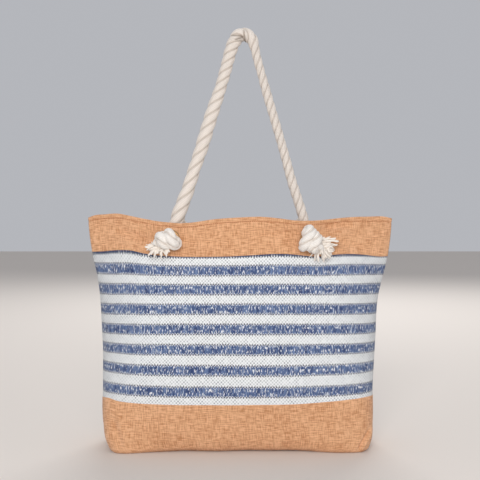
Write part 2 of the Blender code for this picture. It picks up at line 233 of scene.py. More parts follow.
# how far the cloth stands proud of the plain shape, in metres
def clothFolds(side, x, z):
    edge = np.clip((0.262 - np.abs(x)) / 0.03, 0, 1)
    wave = 0.0014 * np.sin(x * 31 + z * 9 + side) * np.sin(z * 17 + 1.3 * side)
    wave += 0.0006 * np.sin(x * 67 - z * 23 + 2 * side)
    pull = 0
    for holeX in (-rope["holeX"], rope["holeX"]):
        dx, dz = x - holeX, z - rope["holeZ"]
        near = np.hypot(dx, dz)
        angle = np.arctan2(dz, dx)
        pull = pull - 0.0026 * np.exp(-((near / 0.030) ** 2))
        pull = pull + 0.0010 * np.cos(5 * angle + 0.7) * np.exp(-(((near - 0.035) / 0.022) ** 2))
    corners = sum(-0.0026 * bump(x, z, way * 0.188, 0.055, 0.020, 0.032) for way in (-1, 1))
    creases = sum(crease(x, z, *fold) for fold in folds["front" if side < 0 else "back"])
    return (wave + pull + corners + folds["strength"] * creases) * edge


def unitNormals(acrossWay, upWay, side):
    normals = np.cross(acrossWay, upWay) * -side
    return normals / np.maximum(np.linalg.norm(normals, axis=2, keepdims=True), 1e-9)


# rows of points on the bag's wall; the front is side -1, and inset moves the cloth in
def bagSheet(side, heights, across, inset=0.0):
    lines = frontLines if side < 0 else backLines
    rows = []
    for height in heights:
        x, y = planRow(height, across)
        x = x + float(through(bag["centreShift"], np.array(height)))
        base, low, high, rim = (through(lines[k], x) for k in ("base", "bottomSeam", "bandSeam", "rim"))
        marks = [0.0, bag["bottomSeam"], bag["bandSeam"], bag["rim"]]
        part = np.interp(height, marks, [0, 1, 2, 3])
        levels = [base, low, high, rim]
        k = min(int(part), 2)
        z = levels[k] + (levels[k + 1] - levels[k]) * (part - k)
        # the base is tucked in along its middle and pushed out at its corners
        tuck = 0.012 * np.clip(1 - (x / 0.19) ** 2, 0, 1) * math.exp(-height / 0.010)
        corner = 0.010 * bump(x, 0, -0.205, 0, 0.05, 1) + 0.003 * bump(x, 0, 0.205, 0, 0.05, 1)
        push = corner * math.exp(-height / 0.020) * np.clip(y / 0.045, 0, 1)
        rows.append(np.stack([x, side * np.maximum(y - tuck + push, 0.0), z], axis=1))
    points = np.array(rows)
    normals = unitNormals(np.gradient(points, axis=1), np.gradient(points, axis=0), side)
    proud = clothFolds(side, points[..., 0], points[..., 2])
    points = points + normals * (proud - inset)[..., None]
    points[..., 1] = side * np.maximum(points[..., 1] * side, 0.0)
    return points


def addPiece(name, bm, material):
    mesh = bpy.data.meshes.new(name)
    bm.to_mesh(mesh)
    bm.free()
    mesh.shade_smooth()
    piece = bpy.data.objects.new(name, mesh)
    bpy.context.scene.collection.objects.link(piece)
    mesh.materials.append(material)
    return piece


# a grid whose rows and columns lie at the given points, with its flat places as UV map
def gridPiece(name, points, flat, material, flip=False, closed=False):
    rows, columns = points.shape[:2]
    bm = bmesh.new()
    bmesh.ops.create_grid(bm, x_segments=columns - 1, y_segments=rows - 1, size=0.5)
    uvLayer = bm.loops.layers.uv.new("clothUv")
    bm.verts.ensure_lookup_table()
    places = np.array([v.co for v in bm.verts])
    column = np.rint((places[:, 0] + 0.5) * (columns - 1)).astype(int)
    row = np.rint((places[:, 1] + 0.5) * (rows - 1)).astype(int)
    target = points[row, column]
    for v, place in zip(bm.verts, target):
        v.co = place
    for face in bm.faces:
        for loop in face.loops:
            n = loop.vert.index
            loop[uvLayer].uv = flat[row[n], column[n]]
    if closed:
        bmesh.ops.remove_doubles(bm, verts=bm.verts, dist=0.00001)
    if flip:
        bmesh.ops.reverse_faces(bm, faces=bm.faces)
    return addPiece(name, bm, material)


def giveThickness(piece, thickness):
    solid = piece.modifiers.new("thickness", "SOLIDIFY")
    solid.thickness = thickness
    solid.offset = -1
    solid.use_even_offset = False


# sets a node's inputs by name or number, each from a wire or a value
def fill(tree, node, inputs):
    for key, value in inputs.items():
        if hasattr(value, "links"):
            tree.links.new(value, node.inputs[key])
        else:
            node.inputs[key].default_value = value
    return node


def nodeMaker(tree):
    def make(kind, *wires, **settings):
        node = tree.nodes.new(kind)
        for key, value in settings.items():
            setattr(node, key, value)
        return fill(tree, node, dict(enumerate(wires)))

    return make


def mathMaker(tree):
    make = nodeMaker(tree)

    def compute(operation, *values, clamp=False):
        return make("ShaderNodeMath", *values, operation=operation, use_clamp=clamp).outputs[0]

    return compute


# the value's distance above a level, times a gain
def above(compute, value, level, gain, clamp=False):
    return compute("MULTIPLY", compute("SUBTRACT", value, level), gain, clamp=clamp)


# a group with a place and some numbers coming in, and numbers going out
def newGroup(name, numbers, results):
    group = bpy.data.node_groups.new(name, "ShaderNodeTree")
    group.interface.new_socket(name="Place", in_out="INPUT", socket_type="NodeSocketVector")
    for label, value in numbers.items():
        socket = group.interface.new_socket(name=label, in_out="INPUT", socket_type="NodeSocketFloat")
        socket.default_value = value
    for label in results:
        group.interface.new_socket(name=label, in_out="OUTPUT", socket_type="NodeSocketFloat")
    return group, group.nodes.new("NodeGroupInput"), group.nodes.new("NodeGroupOutput")


def mixColor(tree, share, first, second):
    node = tree.nodes.new("ShaderNodeMix")
    node.data_type = "RGBA"
    for socket, kind, value in (("Factor", "VALUE", share), ("A", "RGBA", first), ("B", "RGBA", second)):
        target = [s for s in node.inputs if s.name == socket and s.type == kind][0]
        if hasattr(value, "links"):
            tree.links.new(value, target)
        elif isinstance(value, tuple) and len(value) == 3:
            target.default_value = (*value, 1.0)
        else:
            target.default_value = value
    return [s for s in node.outputs if s.type == "RGBA"][0]


# streaks of yarn: noise drawn out along one of the cloth's two directions
def streakGroup():
    numbers = {"Across": 600.0, "Along": 40.0, "Seed": 0.0}
    group, given, result = newGroup("yarnStreaks", numbers, ["Streak"])
    make, compute = nodeMaker(group), mathMaker(group)
    parts = make("ShaderNodeSeparateXYZ", given.outputs["Place"])
    x = compute("MULTIPLY", parts.outputs[0], given.outputs["Across"])
    y = compute("MULTIPLY", parts.outputs[1], given.outputs["Along"])
    place = make("ShaderNodeCombineXYZ", x, y, given.outputs["Seed"])
    cloud = make("ShaderNodeTexNoise", place.outputs[0])
    fill(group, cloud, {"Scale": 1.0, "Detail": 2.0, "Roughness": 0.55})
    group.links.new(cloud.outputs["Fac"], result.inputs["Streak"])
    return group


# yarns that pass over and under each other: their height, and the gaps between them, which the tan cloth
# darkens as painted shade
def weaveGroup():
    group, given, result = newGroup("plainWeave", {"Pitch": 0.001}, ["Height", "GapShade"])
    make, compute = nodeMaker(group), mathMaker(group)
    parts = make("ShaderNodeSeparateXYZ", given.outputs["Place"])
    turns = compute("DIVIDE", math.pi, given.outputs["Pitch"])
    x = compute("MULTIPLY", parts.outputs[0], turns)
    y = compute("MULTIPLY", parts.outputs[1], turns)
    waveX = compute("SINE", x)
    waveY = compute("SINE", y)
    height = compute("POWER", compute("ABSOLUTE", compute("MULTIPLY", waveX, waveY)), 0.5)
    group.links.new(height, result.inputs["Height"])
    group.links.new(compute("SUBTRACT", 1.0, height, clamp=True), result.inputs["GapShade"])
    return group


def newMaterial(name, roughness):
    material = bpy.data.materials.new(name)
    material.use_nodes = True
    shader = material.node_tree.nodes["Principled BSDF"]
    shader.inputs["Roughness"].default_value = roughness
    return material, material.node_tree, shader, mathMaker(material.node_tree)


def placeGroup(tree, group, **inputs):
    node = tree.nodes.new("ShaderNodeGroup")
    node.node_tree = group
    return fill(tree, node, inputs)


def bumpFrom(tree, shader, height, strength, distance):
    node = tree.nodes.new("ShaderNodeBump")
    fill(tree, node, {"Strength": strength, "Distance": distance, "Height": height})
    tree.links.new(node.outputs["Normal"], shader.inputs["Normal"])


def clothPlace(tree):
    node = tree.nodes.new("ShaderNodeUVMap")
    node.uv_map = "clothUv"
    return node.outputs["UV"]


yarnStreaks = streakGroup()
plainWeave = weaveGroup()


def streaks(tree, place, across, along, seed):
    return placeGroup(tree, yarnStreaks, Place=place, Across=across, Along=along, Seed=seed).outputs[0]


tanLook = {
    "dark": linear(188, 128, 82),
    "light": linear(246, 194, 150),
    "pitch": 0.00095,
}


def makeTanCloth():
    material, tree, shader, compute = newMaterial("tanSlubCloth", 0.92)
    place = clothPlace(tree)
    warp = streaks(tree, place, 680.0, 66.0, 1.0)
    weft = streaks(tree, place, 66.0, 680.0, 7.0)
    cloud = streaks(tree, place, 18.0, 22.0, 3.0)
    weave = placeGroup(tree, plainWeave, Place=place, Pitch=tanLook["pitch"])
    both = compute("ADD", compute("MULTIPLY", warp, 0.45), compute("MULTIPLY", weft, 0.55))
    both = compute("ADD", both, above(compute, cloud, 0.5, 0.12))
    tone = compute("MULTIPLY_ADD", compute("SUBTRACT", both, 0.5), 5.4, 0.56, clamp=True)
    color = mixColor(tree, tone, tanLook["dark"], tanLook["light"])
    # painted shade in the gaps between the yarns
    gapShade = compute("MULTIPLY", weave.outputs["GapShade"], 0.55)
    color = mixColor(tree, gapShade, color, tanLook["dark"])
    height = compute("ADD", weave.outputs["Height"], compute("MULTIPLY", both, 2.4))
    bumpFrom(tree, shader, height, 0.55, 0.0006)
    fill(tree, shader, {"Base Color": color, "Sheen Weight": 0.15, "Sheen Roughness": 0.6})
    return material


stripeLook = {
    # centre of stripe k above the bottom seam: first + step * k - squeeze * k * k
    "first": 0.0206,
    "step": 0.0366,
    "squeeze": 0.000383,
    "blueWidth": 0.0150,
    "navy": linear(36, 57, 104),
    "denim": linear(110, 131, 170),
    "white": linear(236, 238, 238),
    "grey": linear(112, 117, 124),
    # dark ink for the dots and the top edge, also the colour of the painted shade at the sides
    "inkAndShade": linear(44, 50, 72),
    "tooth": 0.0048,
    "speck": 0.0060,
    # the row of dots: its distance outside each blue stripe, and the size of a dot
    "edgeRow": 0.0012,
    "edgeDot": 0.0015,
    "topEdge": 0.2500,
    # how strongly the painted shade darkens the sides
    "shade": 0.22,
}


def makeStripedCloth():
    material, tree, shader, compute = newMaterial("stripedCloth", 0.9)
    make = nodeMaker(tree)
    look = stripeLook
    place = clothPlace(tree)
    parts = make("ShaderNodeSeparateXYZ", place)
    across, up = parts.outputs[0], parts.outputs[1]

    def yarns(acrossWay, alongWay, seed):
        return streaks(tree, place, acrossWay, alongWay, seed)

    up = compute("ADD", up, above(compute, yarns(30.0, 8.0, 11.0), 0.5, 0.0014))
    # which stripe this is, as a number that is whole at each stripe's centre
    inner = above(compute, up, look["first"], 4 * look["squeeze"])
    root = compute("SQRT", compute("SUBTRACT", look["step"] ** 2, inner))
    which = compute("DIVIDE", compute("SUBTRACT", look["step"], root), 2 * look["squeeze"])
    share = compute("SUBTRACT", compute("FRACT", compute("ADD", which, 10.5)), 0.5)
    fromCentre = compute("MULTIPLY", compute("ABSOLUTE", share), root)
    teeth = compute("SINE", compute("MULTIPLY", across, math.tau / look["tooth"]))
    ragged = above(compute, yarns(500.0, 60.0, 2.0), 0.5, 0.0036)
    edge = compute("ADD", compute("MULTIPLY", teeth, 0.0013), ragged)
    inside = compute("SUBTRACT", look["blueWidth"] / 2, compute("ADD", fromCentre, edge))
    blue = compute("DIVIDE", inside, 0.0005, clamp=True)
    yarn = yarns(300.0, 60.0, 5.0)
    fine = yarns(900.0, 160.0, 6.0)
    broad = yarns(45.0, 20.0, 9.0)
    mixed = compute("ADD", compute("MULTIPLY", yarn, 0.6), compute("MULTIPLY", fine, 0.4))
    middle = compute("MULTIPLY_ADD", compute("SUBTRACT", broad, 0.5), 0.9, 0.44)
    tone = compute("MULTIPLY_ADD", compute("SUBTRACT", mixed, 0.5), 4.0, middle, clamp=True)
    blueColor = mixColor(tree, tone, look["navy"], look["denim"])
    slub = above(compute, yarns(520.0, 150.0, 17.0), 0.565, 18.0, clamp=True)
    blueColor = mixColor(tree, compute("MULTIPLY", slub, 0.95), blueColor, look["white"])
    # small dark specks in a staggered grid, and a row of dots along each edge of every blue stripe
    column = compute("SINE", compute("MULTIPLY", across, math.tau / look["speck"]))
    row = compute("SINE", compute("MULTIPLY", up, math.tau / look["speck"]))
    grid = compute("MULTIPLY", column, row)
    specks = above(compute, grid, 0.02, 4.0, clamp=True)
    patchy = above(compute, yarns(120.0, 120.0, 23.0), 0.22, 2.2, clamp=True)
    speckShare = compute("MULTIPLY", compute("MULTIPLY", specks, patchy), 0.75)
    whiteColor = mixColor(tree, speckShare, look["white"], look["grey"])
    outside = compute("SUBTRACT", fromCentre, look["blueWidth"] / 2)
    fromEdge = compute("ABSOLUTE", compute("SUBTRACT", outside, look["edgeRow"]))
    beside = compute("SUBTRACT", 1.35, compute("DIVIDE", fromEdge, look["edgeDot"]), clamp=True)
    dots = compute("MULTIPLY", compute("ADD", teeth, 0.05), 5.0, clamp=True)
    whiteColor = mixColor(tree, compute("MULTIPLY", beside, dots), whiteColor, look["inkAndShade"])
    color = mixColor(tree, blue, whiteColor, blueColor)
    topEdge = compute("DIVIDE", compute("SUBTRACT", up, look["topEdge"]), 0.0006, clamp=True)
    edgeShare = compute("MULTIPLY", topEdge, compute("MULTIPLY_ADD", dots, 0.5, 0.45))
    color = mixColor(tree, edgeShare, color, look["inkAndShade"])
    # painted shade: the cloth is darkened towards the side seams, where it bends round away from the lamps
    turned = above(compute, compute("ABSOLUTE", across), 0.175, 8.0, clamp=True)
    color = mixColor(tree, compute("MULTIPLY", turned, look["shade"]), color, look["inkAndShade"])
    weave = placeGroup(tree, plainWeave, Place=place, Pitch=0.0015)
    height = compute("MULTIPLY_ADD", mixed, 1.8, compute("MULTIPLY", weave.outputs["Height"], 0.7))
    height = compute("MULTIPLY_ADD", slub, 0.5, height)
    bumpFrom(tree, shader, height, 0.6, 0.0007)
    fill(tree, shader, {"Base Color": color, "Sheen Weight": 0.12})
    return material


liningLook = {"dark": linear(198, 188, 170), "light": linear(232, 225, 210)}


def makeLiningCloth():
    material, tree, shader, compute = newMaterial("liningCloth", 0.95)
    place = clothPlace(tree)
    weave = placeGroup(tree, plainWeave, Place=place, Pitch=0.0006)
    warp = streaks(tree, place, 900.0, 30.0, 4.0)
    color = mixColor(tree, compute("MULTIPLY", warp, 0.8), liningLook["dark"], liningLook["light"])
    fill(tree, shader, {"Base Color": color})
    bumpFrom(tree, shader, compute("ADD", weave.outputs["Height"], warp), 0.35, 0.0003)
    return material


ropeLook = {
    "cream": linear(246, 236, 226),
    "shadow": linear(192, 178, 164),
    # painted light: the knots take a lighter copy of the same rope cotton
    "knotLitCream": linear(255, 250, 243),
    "knotShadow": linear(216, 202, 188),
    "frayDark": linear(224, 213, 200),
    "frayLight": linear(252, 246, 238),
    # the colour of the painted shade in the creases where the front loop is pinched
    "crease": linear(120, 98, 78),
    "yarns": 7.0,
}


# cotton strands: fine yarns that run along each strand, with painted shade in the grooves between strands and
# in the pinched creases
def makeRopeCotton(name, cream, shadow):
    material, tree, shader, compute = newMaterial(name, 0.95)
    make = nodeMaker(tree)
    place = clothPlace(tree)
    parts = make("ShaderNodeSeparateXYZ", place)
    around, along = parts.outputs[0], parts.outputs[1]
    yarnPhase = compute("MULTIPLY_ADD", around, 3 * ropeLook["yarns"], compute("MULTIPLY", along, 95.0))
    yarns = compute("ABSOLUTE", compute("SINE", compute("MULTIPLY", yarnPhase, math.pi)))
    lobe = compute("ABSOLUTE", compute("COSINE", compute("MULTIPLY", around, 3 * math.pi)))
    fibre = streaks(tree, place, 90.0, 500.0, 6.0)
    # painted shade: darker towards the grooves between the strands
    openness = compute("MULTIPLY", lobe, 1.6, clamp=True)
    speckle = above(compute, fibre, 0.5, 1.1)
    tone = compute("MULTIPLY_ADD", openness, 0.62, compute("MULTIPLY_ADD", yarns, 0.30, speckle), clamp=True)
    # painted shade in the pinched creases, read from the creaseShade attribute
    creases = make("ShaderNodeAttribute", attribute_name="creaseShade").outputs["Fac"]
    color = mixColor(tree, tone, shadow, cream)
    color = mixColor(tree, compute("MULTIPLY", creases, 0.75), color, ropeLook["crease"])
    bumpFrom(tree, shader, compute("ADD", yarns, compute("MULTIPLY", fibre, 1.2)), 0.8, 0.0010)
    fill(tree, shader, {"Base Color": color, "Sheen Weight": 0.2})
    return material


def makeFrayCotton():
    material, tree, shader, _ = newMaterial("frayCotton", 0.95)
    place = clothPlace(tree)
    fibre = streaks(tree, place, 40.0, 700.0, 8.0)
    color = mixColor(tree, fibre, ropeLook["frayDark"], ropeLook["frayLight"])
    bumpFrom(tree, shader, fibre, 0.4, 0.0004)
    fill(tree, shader, {"Base Color": color, "Sheen Weight": 0.2})
    return material


smallLook = {
    "brassDark": linear(150, 116, 80),
    "brassLight": linear(190, 152, 110),
    "threadDark": linear(160, 98, 56),
    "threadLight": linear(200, 136, 90),
}


def makeBrass():
    material, tree, shader, compute = newMaterial("dullBrass", 0.4)
    coordinates = tree.nodes.new("ShaderNodeTexCoord").outputs["Object"]
    cloud = streaks(tree, coordinates, 900.0, 900.0, 1.0)
    color = mixColor(tree, cloud, smallLook["brassDark"], smallLook["brassLight"])
    polish = compute("MULTIPLY_ADD", cloud, 0.25, 0.30)
    fill(tree, shader, {"Base Color": color, "Roughness": polish, "Metallic": 1.0})
    return material


def makeThread():
    material, tree, shader, _ = newMaterial("tanThread", 0.85)
    coordinates = tree.nodes.new("ShaderNodeTexCoord").outputs["Object"]
    cloud = streaks(tree, coordinates, 1500.0, 1500.0, 1.0)
    color = mixColor(tree, cloud, smallLook["threadDark"], smallLook["threadLight"])
    fill(tree, shader, {"Base Color": color})
    return material


tanCloth = makeTanCloth()
stripedCloth = makeStripedCloth()
liningCloth = makeLiningCloth()
ropeCotton = makeRopeCotton("ropeCotton", ropeLook["cream"], ropeLook["shadow"])
# painted light: a lighter copy of the rope cotton for the knots, which are the same rope
knotLitCotton = makeRopeCotton("knotLitCotton", ropeLook["knotLitCream"], ropeLook["knotShadow"])
frayCotton = makeFrayCotton()
brass = makeBrass()
tanThread = makeThread()
print("materials made")


# shares of the way across, from one side seam to the other
across = np.linspace(-1, 1, bag["cells"] + 1)


def lengthAlong(line):
    return np.concatenate([[0], np.cumsum(np.linalg.norm(np.diff(line, axis=0), axis=1))])


def placeAlong(line, along, at):
    return np.stack([np.interp(at, along, line[:, k]) for k in range(3)], axis=-1)


def evenHeights(low, high, cell=bag["cellHeight"]):
    count = max(2, round((high - low) / cell))
    return np.linspace(low, high, count + 1)


def flatPlaces(across, ups):
    flat = np.zeros((len(ups), len(across), 2))
    flat[..., 0] = across[None, :] * bag["flatWidth"] / 2
    flat[..., 1] = np.asarray(ups)[:, None]
    return flat


stitch = {"below": 0.0062, "pitch": 0.0034, "length": 0.0027, "width": 0.0011, "fromSeam": 0.003}
band = {
    "rollRadius": 0.0013, "facing": 0.036, "cloth": 0.0007, "proud": 0.0006, "tuck": 0.0012, "cell": 0.0011,
}


# the band's edge is pressed in where it is sewn to the striped cloth
def seamTuck(fromSeam):
    return np.clip(1 - fromSeam / 0.0018, 0, 1) ** 2 * band["tuck"]


# one cloth that runs up from the seam, turns over the rim and ends inside as the facing
def makeTopBand(word, side):
    up = evenHeights(bag["bandSeam"], bag["rim"], band["cell"])
    turn = np.linspace(0, math.pi, 7)[1:-1]
    down = evenHeights(bag["rim"] - band["facing"], bag["rim"])[::-1]
    radius = band["rollRadius"]
    heights = np.concatenate([up, np.full(len(turn), bag["rim"]), down])
    sink = np.concatenate([np.zeros(len(up)), radius * (1 - np.cos(turn)), np.full(len(down), 2 * radius)])
    rise = np.concatenate([np.zeros(len(up)), radius * np.sin(turn), np.zeros(len(down))])
    tuckIn = seamTuck(up - bag["bandSeam"])
    groove = 0.0012 * np.exp(-(((up - bag["rim"] + stitch["below"]) / 0.0012) ** 2))
    sink[: len(up)] += tuckIn + groove
    # the plain wall is laid out once at ordered heights, then each row takes its own place on it
    wall = bagSheet(side, np.concatenate([up, [bag["rim"]]]), across, -band["proud"])
    upWay = np.gradient(wall[:-1], axis=0)
    normals = unitNormals(np.gradient(wall, axis=1), np.concatenate([upWay, upWay[-1:]]), side)
    pick = np.clip(np.searchsorted(up, heights - 1e-9), 1, len(up) - 1)
    share = (heights - up[pick - 1]) / (up[pick] - up[pick - 1])
    points = wall[pick - 1] + (wall[pick] - wall[pick - 1]) * share[:, None, None]
    out = normals[pick - 1]
    points = points - out * sink[:, None, None] + np.array([0, 0, 1.0]) * rise[:, None, None]
    points[..., 1] = side * np.maximum(points[..., 1] * side, 0.0)
    along = lengthAlong(points[:, len(across) // 2])
    piece = gridPiece(word + "TopBand", points, flatPlaces(across, along), tanCloth, flip=side > 0)
    giveThickness(piece, band["cloth"])
    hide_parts(word + "_top_band")
    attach(piece, "bag")
    return points[: len(up)]


stripePanel = {
    "underBands": 0.004,
    "thickness": 0.0012,
    "seamMiddle": 0.0833,
    "stretch": 1.0186,
    # the share of the top seam's waves that the stripes take up, and how far down it reaches
    "follow": 0.75,
    "followReach": 0.022,
    # height, and how far the stripes hang lower at the side seams than in the middle
    "droop": [
        (0.07, -0.0075), (0.104, -0.0041), (0.14, -0.0022), (0.176, 0.0011), (0.21, 0.0036),
        (0.243, 0.0036), (0.277, 0.0024), (0.31, 0.0006), (0.34, 0.0),
    ],
    "droopFrom": 0.235,
}


def makeStripePanel(word, side):
    look = stripePanel
    heights = evenHeights(bag["bottomSeam"] - look["underBands"], bag["bandSeam"] + look["underBands"])
    points = bagSheet(side, heights, across)
    flat = flatPlaces(across, heights)
    # the stripes stay near level, and only close below the top seam do they wander with it
    x, z = points[..., 0], points[..., 2]
    seam = through((frontLines if side < 0 else backLines)["bandSeam"], x) - bag["bandSeam"]
    follow = look["follow"] * seam * np.exp(-np.clip(bag["bandSeam"] - z, 0, 1) / look["followReach"])
    droop = through(look["droop"], z) * np.clip(np.abs(x) / look["droopFrom"], 0, 1) ** 2.5
    flat[..., 1] = (z - look["seamMiddle"] + droop - follow) * look["stretch"]
    piece = gridPiece(word + "StripePanel", points, flat, stripedCloth, flip=side > 0)
    giveThickness(piece, look["thickness"])
    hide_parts(word + "_stripe_panel")
    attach(piece, "bag")


bottomBand = {
    "foldTop": 0.012,
    "foldRows": 9,
    "baseRows": 15,
    "floorGap": 0.0002,
    "baseDepth": 0.056,
    "thickness": 0.0012,
}
# how much narrower the base is at its middle seam
baseNarrowing = 0.22


# rows of points over half of the base, from its middle seam out to the foot of the wall
def baseRows(foot, count, floor, power):
    rows = []
    for share in np.linspace(1, 0, count)[:-1]:
        row = foot.copy()
        row[:, 0] *= 1 - baseNarrowing * share
        row[:, 1] *= 1 - share
        row[:, 2] = floor + (row[:, 2] - floor) * (1 - share**power)
        rows.append(row)
    return np.array(rows)


# the band's wall, the fold at the floor, and its half of the base, up to the middle seam
def makeBottomBand(word, side):
    look = bottomBand
    foldHeights = np.linspace(0, look["foldTop"], look["foldRows"])[:-1]
    wallHeights = np.concatenate([foldHeights, evenHeights(look["foldTop"], bag["bottomSeam"])])
    wall = bagSheet(side, wallHeights, across, -band["proud"])
    tuckIn = seamTuck(bag["bottomSeam"] - wallHeights)
    wall[..., 1] -= side * tuckIn[:, None] * np.clip(np.abs(wall[..., 1]) / 0.01, 0, 1)
    base = baseRows(wall[0], look["baseRows"], 0, 0.5)
    points = np.concatenate([base, wall])
    points[..., 2] = np.maximum(points[..., 2], look["floorGap"])
    upWall = lengthAlong(wall[:, len(across) // 2])
    baseFlat = np.stack([base[..., 0], np.abs(base[..., 1]) - look["baseDepth"]], axis=2)
    flat = np.concatenate([baseFlat, flatPlaces(across, upWall)])
    piece = gridPiece(word + "BottomBand", points, flat, tanCloth, flip=side > 0)
    giveThickness(piece, look["thickness"])
    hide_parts(word + "_bottom_band")
    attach(piece, "bag")


lining = {
    "cells": 120,
    "inset": 0.0034,
    "lift": 0.0022,
    "belowRim": 0.030,
    "foldRows": 5,
    "wallRows": 60,
    "baseRows": 9,
    "thickness": 0.0005,
}


def makeLining(word, side):
    look = lining
    across = np.linspace(-1, 1, look["cells"] + 1)
    wallTop = bag["rim"] - look["belowRim"]
    foldHeights = np.linspace(0.0, bottomBand["foldTop"], look["foldRows"])[:-1]
    wallHeights = np.concatenate([foldHeights, np.linspace(bottomBand["foldTop"], wallTop, look["wallRows"])])
    wall = bagSheet(side, wallHeights, across, look["inset"])
    wall[..., 2] += look["lift"]
    points = np.concatenate([baseRows(wall[0], look["baseRows"], look["lift"], 1), wall])
    along = lengthAlong(points[:, look["cells"] // 2])
    piece = gridPiece(word + "Lining", points, flatPlaces(across, along), liningCloth, flip=side > 0)
    giveThickness(piece, look["thickness"])
    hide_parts(word + "_lining")
    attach(piece, "bag")


# a row of short stitches below the rim, each a flattened ball that follows the cloth
def makeTopstitch(word, side, bandRows):
    heights = np.linspace(bag["bandSeam"], bag["rim"], len(bandRows))
    at = bag["rim"] - stitch["below"]
    line = np.array([placeAlong(bandRows[:, c], heights, at) for c in range(len(across))])
    along = lengthAlong(line)
    bm = bmesh.new()
    for n in range(int((along[-1] - 2 * stitch["fromSeam"]) / stitch["pitch"])):
        start = stitch["fromSeam"] + n * stitch["pitch"]
        ends = [Vector(placeAlong(line, along, spot)) for spot in (start, start + stitch["length"])]
        way = (ends[1] - ends[0]).normalized()
        out = way.cross(Vector((0, 0, 1))).normalized()
        if out.y * side < 0:
            out = -out
        up = out.cross(way)
        turn = Matrix((way, up, out)).transposed().to_4x4()
        size = Matrix.Diagonal((stitch["length"] * 0.55, stitch["width"] * 0.6, stitch["width"] * 0.5, 1))
        middle = (ends[0] + ends[1]) / 2 + out * 0.0002
        place = Matrix.Translation(middle) @ turn @ size
        bmesh.ops.create_icosphere(bm, subdivisions=1, radius=1.0, matrix=place)
    piece = addPiece(word + "RimTopstitch", bm, tanThread)
    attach(piece, "bag")


# the pocket's ends as shares of the back's half width, and its heights
pocket = {"across": (-0.36, 0.36), "heights": (0.170, 0.300), "inset": 0.0044, "thickness": 0.0008}


def makePocket():
    across = np.linspace(*pocket["across"], 73)
    heights = np.linspace(*pocket["heights"], 40)
    points = bagSheet(1, heights, across, pocket["inset"])
    piece = gridPiece("innerPocket", points, flatPlaces(across, heights), liningCloth, flip=True)
    giveThickness(piece, pocket["thickness"])
    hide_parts("inner_pocket")
    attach(piece, "bag")


for word, side in (("front", -1), ("back", 1)):
    makeTopstitch(word, side, makeTopBand(word, side))
    makeStripePanel(word, side)
    makeBottomBand(word, side)
    makeLining(word, side)
makePocket()
print("cloth made")


def frontDepth(x, z):
    across = np.linspace(-1, 1, 801)
    xs, ys = planRow(z, across)
    return -float(np.interp(x, xs, ys))


def catmull(points, perSpan):
    points = np.array(points, float)
    padded = np.vstack([2 * points[0] - points[1], points, 2 * points[-1] - points[-2]])
    line = []
    for a, b, c, d in zip(padded, padded[1:], padded[2:], padded[3:]):
        bend, twist = 2 * a - 5 * b + 4 * c - d, 3 * b - a - 3 * c + d
        for t in np.arange(perSpan) / perSpan:
            line.append(0.5 * (2 * b + (c - a) * t + bend * t**2 + twist * t**3))
    return np.array([*line, points[-1]])


def evenly(line, step):
    along = lengthAlong(line)
    at = np.linspace(0, along[-1], max(2, round(along[-1] / step) + 1))
    return placeAlong(line, along, at), at


def holeFrame(x, side):
    step = 0.004
    y = frontDepth(x, rope["holeZ"])
    slopeX = (frontDepth(x + step, rope["holeZ"]) - frontDepth(x - step, rope["holeZ"])) / (2 * step)
    out = Vector((slopeX, -1.0, 0.03)).normalized()
    place = Vector((x, y, rope["holeZ"]))
    if side > 0:
        out.y, place.y = -out.y, -place.y
    turn = out.to_track_quat("Z", "Y").to_matrix().to_4x4()
    return Matrix.Translation(place) @ turn


legY = frontDepth(rope["holeX"], rope["holeZ"]) + rope["legOffset"]
hingeY = frame["joints"][0]["pos_m"][1]


# from the knot, through the eyelet and up behind the rim
def rootRoute(sideX, side):
    place = holeFrame(sideX * rope["holeX"], -1)
    start = place @ Vector((0, 0, 0.0012))
    inward = -(place.to_3x3() @ Vector((0, 0, 1)))
    points = [
        start,
        start + inward * 0.0100,
        Vector((sideX * 0.1136, legY - 0.0042, rope["holeZ"] + 0.0040)),
        Vector((sideX * 0.1108, legY - 0.0002, rope["holeZ"] + 0.0170)),
    ]
    if side > 0:
        points[3:] = [
            Vector((sideX * 0.1125, legY - 0.0010, 0.3690)),
            Vector((sideX * 0.1115, legY - 0.0050, 0.3765)),
        ]
    return [Vector((p.x, p.y * -side, p.z)) for p in points]


# how deep in a crease each place is, from 0 to 1: it pushes the rope in and sets the painted shade there
def foldAt(x, z, pinch):
    deepest = np.zeros_like(x)
    for startX, startZ, endX, endZ in pinch["creases"]:
        wayX, wayZ = endX - startX, endZ - startZ
        share = np.clip(((x - startX) * wayX + (z - startZ) * wayZ) / (wayX**2 + wayZ**2), 0, 1)
        away = np.hypot(x - startX - wayX * share, z - startZ - wayZ * share)
        deepest = np.maximum(deepest, np.exp(-((away / pinch["width"]) ** 2)))
    return deepest


